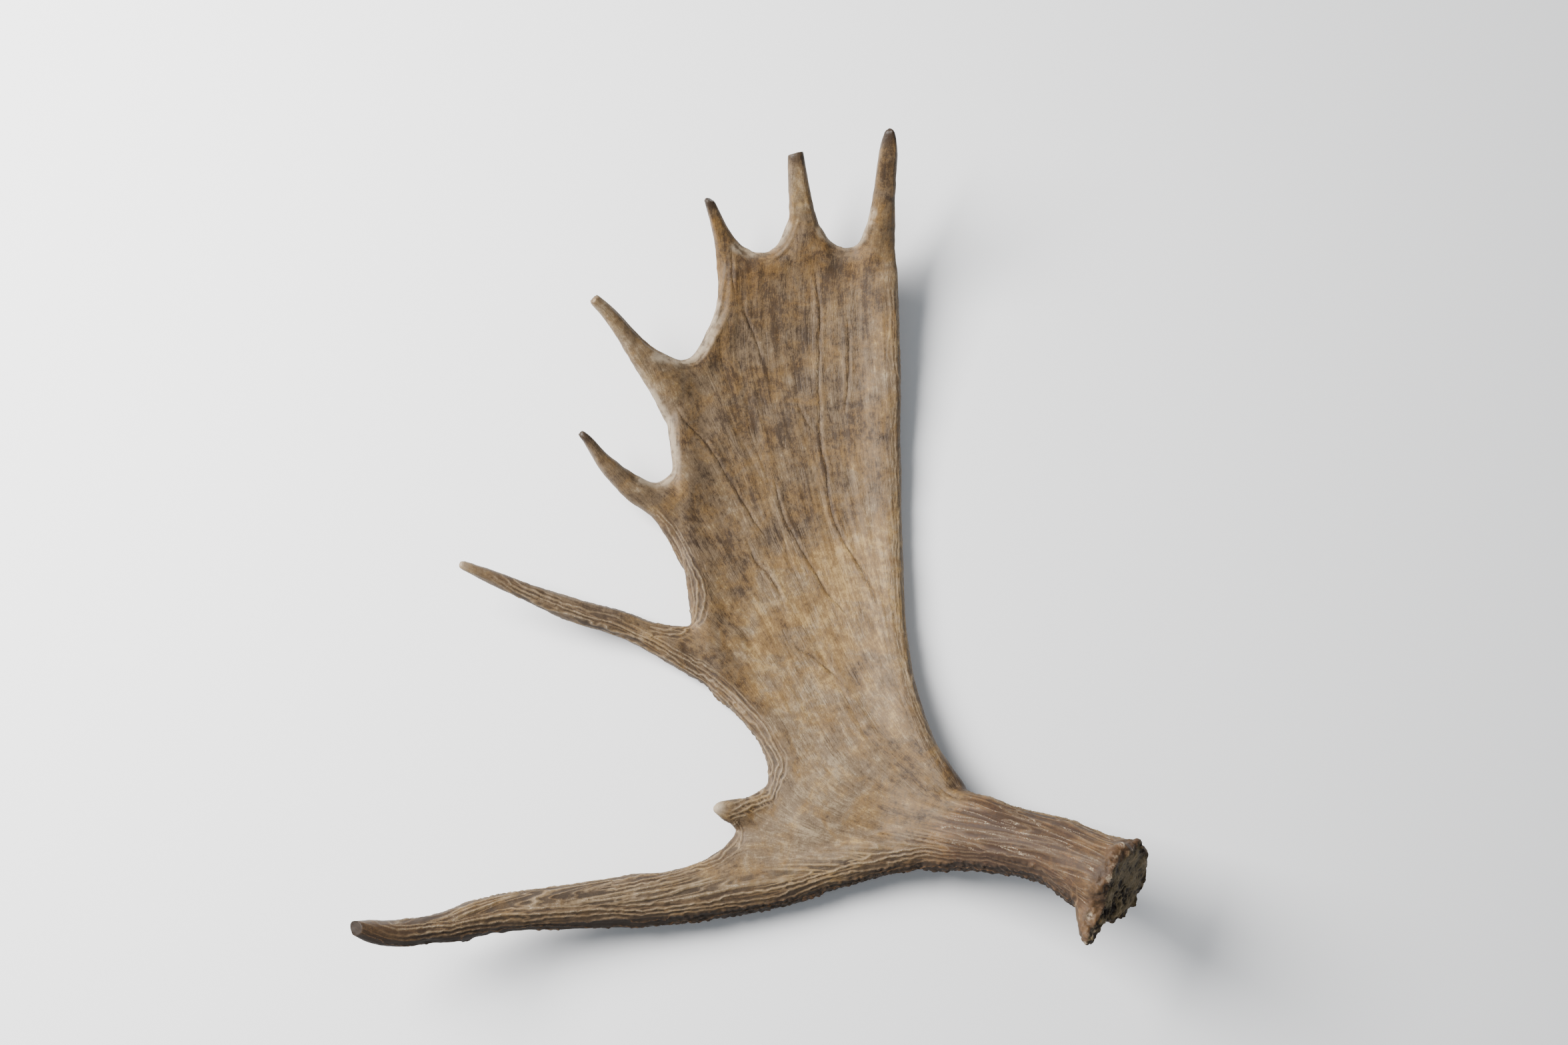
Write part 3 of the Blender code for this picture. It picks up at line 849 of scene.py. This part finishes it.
    store(mesh, "growth", growth.ring, growth.run)
    store(mesh, "spread", growth.spread)
    store(mesh, "crests", crest_gap, fine_gap, rim_gap)
    store(mesh, "veins", vein_gap, vein_clear, groove)
    # The third of the lumps is the seal's height, which sets its painted shade and highlight.
    store(mesh, "lumps", pearl, knob, np.clip(0.5 + 0.22 * floor, 0, 1) * burr.seal)
    store(mesh, "zones", ridged, tip, burr.seal)
    # The sides hold the bays' lips, the painted shade of the limbs and the collar.
    store(mesh, "sides", lip, shade * limb, burr.collar)
    store(mesh, "stains", stain_field(seen))
    store(mesh, "ends", ends, raw, hollow)
    store(mesh, "marks", band, beam_top, ramp(to_tip, 140, 70))
    return skin


class ANTLER_OT_skin(bpy.types.Operator):
    """Fuse the solids into one grown skin with its ridges, grooves and pearls"""

    bl_idname = "antler.skin"
    bl_label = "Grown Skin"

    def execute(self, context):
        grow_skin(context.scene.antler_skin)
        return {"FINISHED"}


# ---- materials


class Wires:
    """Short ways to add and join shader nodes."""

    def __init__(self, tree):
        self.tree = tree
        self.colour = None

    def join(self, source, socket):
        if isinstance(source, bpy.types.NodeSocket):
            self.tree.links.new(source, socket)
        else:
            socket.default_value = source

    def node(self, kind, **values):
        node = self.tree.nodes.new("ShaderNode" + kind)
        for name, value in values.items():
            setattr(node, name, value)
        return node

    def fed(self, kind, *sources, **values):
        """A node whose first inputs are joined or set in order."""
        node = self.node(kind, **values)
        for source, socket in zip(sources, node.inputs):
            self.join(source, socket)
        return node

    def math(self, operation, *sources):
        return self.fed("Math", *sources, operation=operation).outputs[0]

    def fold(self, operation, values):
        result = values[0]
        for value in values[1:]:
            result = self.math(operation, result, value)
        return result

    def times(self, *values):
        return self.fold("MULTIPLY", values)

    def plus(self, *values):
        return self.fold("ADD", values)

    def most(self, *values):
        return self.fold("MAXIMUM", values)

    def size(self, value):
        return self.math("ABSOLUTE", value)

    def rest(self, value):
        return self.math("SUBTRACT", 1, value)

    def line(self, value, slope, start):
        return self.math("MULTIPLY_ADD", value, slope, start)

    def centred(self, value, size):
        """A noise of 0 to 1 as plus or minus half of size."""
        return self.line(value, size, -0.5 * size)

    def ramp(self, value, low, high, start=0, end=1):
        sources = (value, low, high, start, end)
        return self.fed("MapRange", *sources, interpolation_type="SMOOTHSTEP").outputs[0]

    def mix(self, factor, a, b, blend="MIX"):
        node = self.fed("Mix", factor, data_type="RGBA", blend_type=blend)
        self.join(a, node.inputs[6])
        self.join(b, node.inputs[7])
        return node.outputs[2]

    def blend(self, factor, a, b):
        node = self.fed("Mix", factor, data_type="FLOAT")
        self.join(a, node.inputs[2])
        self.join(b, node.inputs[3])
        return node.outputs[0]

    def noise(self, vector, scale, detail=2, rough=0.5, warp=0):
        node = self.fed("TexNoise", vector, noise_dimensions="3D")
        names = ("Scale", "Detail", "Roughness", "Distortion")
        for name, value in zip(names, (scale, detail, rough, warp)):
            node.inputs[name].default_value = value
        return node.outputs["Fac"]

    def fields(self, name):
        """The three values that a vector attribute of the skin holds."""
        vector = self.node("Attribute", attribute_name=name).outputs["Vector"]
        return self.fed("SeparateXYZ", vector).outputs[:]

    def coat(self, tint, *shares, blend="MIX"):
        """Lays a tint over the colour so far, as much as the shares multiplied."""
        self.colour = self.mix(self.times(*shares), self.colour, tint, blend)


def new_group(name, inputs, outputs):
    tree = bpy.data.node_groups.new(name, "ShaderNodeTree")
    for label, kind, value in inputs:
        socket = tree.interface.new_socket(label, in_out="INPUT", socket_type="NodeSocket" + kind)
        socket.default_value = value
    for label, kind in outputs:
        tree.interface.new_socket(label, in_out="OUTPUT", socket_type="NodeSocket" + kind)
    return tree, Wires(tree), tree.nodes.new("NodeGroupInput"), tree.nodes.new("NodeGroupOutput")


def streaks_group():
    """Grain drawn out along the growth, the same width from the burr to the tips."""
    tree, w, given, result = new_group(
        "growth streaks",
        (("Width", "Float", 1), ("Length", "Float", 15), ("Seed", "Float", 0)),
        (("Streaks", "Float"),),
    )
    width, length, seed = given.outputs[:3]
    p, q, run = w.fields("growth")
    spread = w.node("Attribute", attribute_name="spread").outputs["Fac"]
    level = w.math("LOGARITHM", w.math("DIVIDE", 1, w.times(width, spread)), 2)
    whole = w.math("FLOOR", level)
    along = w.plus(w.math("DIVIDE", run, length), seed)
    octaves = []
    for step in (0, 1):
        scale = w.math("POWER", 2, w.plus(whole, step))
        spot = w.fed("CombineXYZ", w.times(p, scale), w.times(q, scale), along).outputs[0]
        octaves.append(w.noise(spot, 1, 1))
    w.join(w.blend(w.math("SUBTRACT", level, whole), *octaves), result.inputs[0])
    return tree


COLOUR_NAMES = [name.title() for name in AntlerBoneSettings.__annotations__]


def bone_group(streaks):
    """Colour, roughness and fine relief of weathered antler; the colour holds painted shade and
    highlights.
    """
    tree, w, given, result = new_group(
        "antler bone",
        [(name, "Color", (0.5, 0.5, 0.5, 1)) for name in COLOUR_NAMES],
        (("Color", "Color"), ("Roughness", "Float"), ("Height", "Float")),
    )
    dark, tan, pale, warm, cool, rust, amber, bleach, dirt_and_shade, seal_tint = given.outputs[:10]

    def along(width, length, seed):
        """Streaks along the growth, width and length in millimetres."""
        return w.fed("Group", width, length, seed, node_tree=streaks).outputs[0]

    place = w.node("TexCoord").outputs["Object"]
    crest_gap, fine_gap, rim_gap = w.fields("crests")
    vein_gap, vein_clear, groove = w.fields("veins")
    pearl, knob, seal_floor = w.fields("lumps")
    ridged, tip, seal = w.fields("zones")
    lip, under, collar = w.fields("sides")
    warmth, coolness, darkness = w.fields("stains")
    end_tone, raw, hollow_spot = w.fields("ends")
    band, beam_top, tine = w.fields("marks")
    off_band = w.rest(band)
    from_crest = w.size(w.blend(w.math("GREATER_THAN", band, 0.5), crest_gap, rim_gap))
    from_fine = w.size(fine_gap)

    patch = w.noise(place, 21, 3, 0.55, 0.4)
    blotch = w.noise(place, 55, 4, 0.6, 0.6)
    aside = w.fed("VectorMath", place, (3.7, 1.9, 5.3), operation="ADD").outputs[0]
    blotch_2 = w.noise(aside, 42, 4, 0.6, 0.8)
    mottle = w.noise(place, 165, 3, 0.55, 0.3)
    fleck = w.noise(place, 420, 3, 0.6)
    speck = w.noise(place, 950, 2, 0.6)
    grain = along(width=0.9, length=4.5, seed=3)
    strand = along(width=2.6, length=26, seed=8)
    belt = along(width=8, length=85, seed=14)
    off_grain = w.rest(w.most(collar, seal))

    # Bone: patches, mottling and grain in one tone from dark to pale.
    even = w.ramp(coolness, 0.2, 1.5, 1, 0.55)
    grained = w.ramp(w.fed("SeparateXYZ", place).outputs[1], -0.10, 0.06, 1.05, 1.2)
    tone = w.plus(
        w.times(even, w.plus(w.centred(patch, 0.6), w.centred(blotch, 0.75))),
        w.centred(mottle, 0.52), w.centred(fleck, 0.30), w.centred(speck, 0.4),
        w.times(
            grained, off_grain,
            w.plus(w.centred(grain, 0.4), w.centred(strand, 0.42), w.centred(belt, 0.35)),
        ),
        w.times(darkness, -0.09), w.times(w.most(end_tone, 0), -0.35), 0.5,
    )
    w.colour = w.mix(w.ramp(tone, 0.14, 0.55), dark, tan)
    w.coat(pale, w.ramp(tone, 0.50, 0.84))
    cold = (w.centred(blotch_2, 1), w.centred(mottle, 0.5), coolness)
    warmer = (w.centred(blotch_2, -1), w.centred(fleck, 0.4), warmth)
    for tint, (wide, narrow, stain) in ((cool, cold), (warm, warmer)):
        hue = w.plus(wide, narrow, w.times(stain, 0.09), 0.5)
        w.coat(tint, w.ramp(hue, 0.40, 0.72, 0, 0.8), blend="MULTIPLY")

    # Fine creases along the growth.
    thread = along(width=5.5, length=60, seed=21)
    crease = w.ramp(w.plus(w.size(w.centred(thread, 1)), w.centred(fleck, 0.06)), 0.042, 0)
    crease = w.times(crease, off_grain, w.ramp(blotch_2, 0.47, 0.62), w.rest(ridged), w.rest(tine))
    w.coat(dark, crease, 0.22)

    # Points: warm, with dark streaks.
    warm_tine = w.times(tine, w.ramp(blotch, 0.35, 0.6, 0, 0.6), w.ramp(coolness, 0.6, 0.1))
    w.coat(warm, warm_tine, blend="MULTIPLY")
    w.coat(dark, tine, w.ramp(strand, 0.5, 0.66), 0.5)

    # Crest lines and the hollows between them.
    ragged = w.plus(w.centred(fleck, 2.2), w.centred(speck, 2.6), w.centred(mottle, 1.2))
    line = w.ramp(w.plus(from_crest, ragged, w.times(beam_top, 0.2)), 0.65, 0.1)
    line_fine = w.ramp(w.plus(from_fine, ragged, w.times(beam_top, -0.15)), 0.40, 0)
    broken = w.ramp(w.blend(0.5, mottle, blotch_2), 0.43, 0.58)
    broken = w.most(broken, w.plus(w.times(band, 0.25), w.times(beam_top, 0.35)))
    line_fine = w.times(line_fine, off_band, w.line(beam_top, 0.7, 0.6))
    worn = w.most(w.times(line, w.line(beam_top, -0.6, 1)), line_fine)
    flecked = w.ramp(w.blend(0.4, fleck, mottle), 0.42, 0.56, 0.3, 1)
    worn = w.times(worn, broken, flecked, w.line(off_band, -0.2, 1))
    halo = w.ramp(w.plus(from_crest, w.centred(grain, 5), w.centred(fleck, 3)), 2.4, 0.2)
    hollow = w.times(w.ramp(from_crest, 0.8, 2.4), w.ramp(from_fine, 0.4, 1.3))
    w.coat(dark, ridged, 0.25)
    rusty = w.times(w.most(beam_top, w.times(band, 0.2)), w.ramp(blotch_2, 0.40, 0.6, 0.5, 1))
    w.coat(rust, rusty, blend="MULTIPLY")
    calm = w.ramp(blotch, 0.38, 0.58, 0.5, 1)
    w.coat(dirt_and_shade, hollow, ridged, w.line(beam_top, -0.35, 0.80), calm)
    # Pale halos and worn crests are kept off the painted shade of the undersides.
    lit_side = w.line(under, -0.95, 1)
    w.coat(pale, halo, w.line(beam_top, -0.7, 1), ridged, lit_side, 0.35)
    w.coat(bleach, worn, ridged, lit_side, 0.75)

    # Painted shade on the undersides, partly grime, with painted highlight in amber on their crests and
    # pearl tops.
    w.coat(dirt_and_shade, under, 0.88)
    w.coat(amber, line, under, 0.85)
    w.coat(amber, w.ramp(pearl, 0.4, 0.9), under, 0.25)

    # Veins, soft and broken.
    from_vein = w.plus(w.size(vein_gap), w.centred(fleck, 2), w.centred(grain, 1))
    core = w.ramp(from_vein, 1.1, 0)
    core = w.times(core, vein_clear, w.ramp(mottle, 0.38, 0.60, 0.25, 1))
    w.coat(dark, w.plus(w.times(core, 0.52), w.times(groove, 0.22)))

    # Lips of the bays are bleached; tips end dark, pale or raw.
    patchy = w.ramp(w.blend(0.5, mottle, strand), 0.40, 0.56, 0.25, 0.95)
    w.coat(bleach, lip, patchy, 0.62)
    w.coat(dirt_and_shade, end_tone, 0.75)
    w.coat(bleach, end_tone, -0.75)
    flesh = w.mix(w.ramp(speck, 0.4, 0.6, 0.2, 0.55), bleach, amber)
    w.coat(flesh, raw, 0.85)
    w.coat(dirt_and_shade, raw, -0.85)

    # Burr and seal.
    w.coat(dark, collar, 0.45)
    between = w.times(w.ramp(knob, 0.35, 0), collar, w.ramp(fleck, 0.42, 0.56), 0.5)
    w.coat(dirt_and_shade, between)
    knob_top = w.times(w.ramp(knob, 0.3, 0.8), w.ramp(fleck, 0.43, 0.56), w.ramp(blotch_2, 0.45, 0.6))
    w.coat(bleach, knob_top, 0.85)
    # Seal face: painted shade in its low places and painted highlight on its high ones, over its own
    # beige and mottling.
    seal_light_and_tone = w.plus(seal_floor, w.centred(fleck, 0.8), w.centred(mottle, 0.7), w.centred(speck, 0.4))
    face = w.mix(w.ramp(seal_light_and_tone, 0.22, 0.52), dirt_and_shade, seal_tint)
    face = w.mix(w.ramp(seal_light_and_tone, 0.50, 0.85, 0, 0.6), face, pale)
    face = w.mix(w.ramp(blotch, 0.5, 0.66, 0, 0.5), face, warm, "MULTIPLY")
    w.coat(face, seal)
    inside = w.mix(w.ramp(mottle, 0.4, 0.55), dirt_and_shade, bleach)
    w.coat(inside, hollow_spot, 0.6)
    w.join(w.colour, result.inputs[0])

    rough = w.plus(w.line(speck, 0.2, 0.55), w.times(tip, -0.14), w.times(seal, 0.2))
    rough = w.plus(rough, w.times(under, 0.25))
    w.join(rough, result.inputs[1])
    relief = w.plus(
        w.times(off_grain, w.plus(w.times(grain, -0.14), w.times(strand, -0.26))), w.times(mottle, 0.22),
        w.times(speck, 0.14), w.times(worn, ridged, 0.35), w.times(seal, fleck, 0.9),
        w.times(collar, fleck, 0.5), w.times(core, -0.35), w.times(crease, -0.2),
    )
    w.join(relief, result.inputs[2])
    return tree


def bone_material(name):
    """The antler's look on one piece."""
    groups = bpy.data.node_groups
    streaks = groups.get("growth streaks") or streaks_group()
    bone = groups.get("antler bone") or bone_group(streaks)
    material = bpy.data.materials.new(name)
    material.use_nodes = True
    w = Wires(material.node_tree)
    shader = material.node_tree.nodes["Principled BSDF"]
    look = w.node("Group", node_tree=bone)
    colours = bpy.context.scene.antler_bone
    for label in COLOUR_NAMES:
        look.inputs[label].default_value = (*getattr(colours, label.lower()), 1.0)
    bump = w.node("Bump")
    bump.inputs["Strength"].default_value = 1.0
    bump.inputs["Distance"].default_value = MM
    w.join(look.outputs["Height"], bump.inputs["Height"])
    w.join(bump.outputs[0], shader.inputs["Normal"])
    w.join(look.outputs["Color"], shader.inputs["Base Color"])
    w.join(look.outputs["Roughness"], shader.inputs["Roughness"])
    shader.inputs["Specular IOR Level"].default_value = 0.35
    return material


def make_piece(name, cuts):
    """Cuts a piece from the skin, with sharp edges round its flat cuts."""
    bm = bmesh.new()
    bm.from_mesh(bpy.data.objects["skin"].data)
    for (spot, facing), side in cuts:
        point = LIE @ (Vector(spot) * MM)
        normal = (LIE.to_3x3() @ Vector(facing)).normalized() * side
        geom = bm.verts[:] + bm.edges[:] + bm.faces[:]
        cut = bmesh.ops.bisect_plane(bm, geom=geom, plane_co=point, plane_no=normal, clear_inner=True)
        rim = [e for e in cut["geom_cut"] if isinstance(e, bmesh.types.BMEdge)]
        caps = bmesh.ops.edgeloop_fill(bm, edges=rim)["faces"]
        for edge in {e for f in caps for e in f.edges}:
            edge.smooth = False
    bmesh.ops.triangulate(bm, faces=bm.faces[:])
    piece = placed(name + "_skin", mesh_of(bm, name + "_skin"))
    if len(piece.data.polygons) > MOST_TRIANGLES:
        modify(piece, "DECIMATE", ratio=MOST_TRIANGLES / len(piece.data.polygons))
    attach(piece, "root")
    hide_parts(name)
    piece.data.materials.append(bone_material(name))


class PieceCut:
    """What the pieces' operators share: the node's name, and each cut with the side to keep."""

    def execute(self, context):
        make_piece(self.node, self.cuts)
        return {"FINISHED"}


class ANTLER_OT_beam(PieceCut, bpy.types.Operator):
    """Cut the burr and beam from the skin"""

    bl_idname = "antler.beam"
    bl_label = "Burr and Beam"
    node = "beam"
    cuts = ((BEAM_CUT, 1),)


class ANTLER_OT_brow_branch(PieceCut, bpy.types.Operator):
    """Cut the brow branch from the skin"""

    bl_idname = "antler.brow_branch"
    bl_label = "Brow Branch"
    node = "brow_branch"
    cuts = ((BEAM_CUT, -1), (BROW_CUT, -1))


class ANTLER_OT_palm(PieceCut, bpy.types.Operator):
    """Cut the palm from the skin"""

    bl_idname = "antler.palm"
    bl_label = "Palm"
    node = "palm"
    cuts = ((BEAM_CUT, -1), (BROW_CUT, 1))


# ---- stage


def key_light():
    light = bpy.data.lights.new("key", "AREA")
    light.shape = "SQUARE"
    light.size = 1.0
    light.energy = 140.0
    light.color = (1.0, 0.985, 0.96)
    lamp = placed("key", light)
    lamp.location = LIE.to_3x3() @ Vector(KEY_PLACE)
    lamp.rotation_euler = (-lamp.location).to_track_quat("-Z", "Y").to_euler()


class ANTLER_OT_stage(bpy.types.Operator):
    """Lay the pale floor, light it softly and place the camera"""

    bl_idname = "antler.stage"
    bl_label = "Stage"

    def execute(self, context):
        scene = context.scene
        bm = bmesh.new()
        bmesh.ops.create_grid(bm, x_segments=1, y_segments=1, size=4.0)
        floor = placed("floor", mesh_of(bm, "floor"))
        material = bpy.data.materials.new("floor")
        material.use_nodes = True
        shader = material.node_tree.nodes["Principled BSDF"]
        shader.inputs["Base Color"].default_value = (*scene.antler_stage.floor, 1.0)
        shader.inputs["Roughness"].default_value = 0.9
        floor.data.materials.append(material)

        world = bpy.data.worlds.new("studio")
        world.use_nodes = True
        sky = world.node_tree.nodes["Background"]
        sky.inputs["Color"].default_value = (0.88, 0.94, 1.0, 1.0)
        sky.inputs["Strength"].default_value = 0.38
        scene.world = world
        key_light()

        camera = bpy.data.cameras.new("camera")
        camera.lens = 50.0
        camera.sensor_width = 36.0
        scene.camera = placed("camera", camera)
        scene.camera.matrix_world = LIE @ Matrix.Translation((0.0, 0.0, CAMERA_REACH * MM))
        return {"FINISHED"}


class ANTLER_PT_panel(bpy.types.Panel):
    """Lists the antler's pieces"""

    bl_idname = "ANTLER_PT_panel"
    bl_label = "Antler"
    bl_space_type = "VIEW_3D"
    bl_region_type = "UI"
    bl_category = "Antler"

    def draw(self, context):
        for operator in OPERATORS:
            self.layout.operator(operator.bl_idname)


OPERATORS = (
    ANTLER_OT_stage,
    ANTLER_OT_skin,
    ANTLER_OT_beam,
    ANTLER_OT_brow_branch,
    ANTLER_OT_palm,
)
SETTINGS = {
    "antler_skin": AntlerSkinSettings,
    "antler_bone": AntlerBoneSettings,
    "antler_stage": AntlerStageSettings,
}
CLASSES = (*SETTINGS.values(), *OPERATORS, ANTLER_PT_panel)


def register():
    for item in CLASSES:
        bpy.utils.register_class(item)
    for name, kind in SETTINGS.items():
        setattr(bpy.types.Scene, name, PointerProperty(type=kind))


def unregister():
    for name in SETTINGS:
        delattr(bpy.types.Scene, name)
    for item in reversed(CLASSES):
        bpy.utils.unregister_class(item)


def main():
    register()
    bpy.ops.antler.stage()
    bpy.ops.antler.skin()
    bpy.ops.antler.beam()
    bpy.ops.antler.brow_branch()
    bpy.ops.antler.palm()
    bpy.data.objects.remove(bpy.data.objects["skin"], do_unlink=True)


if __name__ == "__main__":
    main()
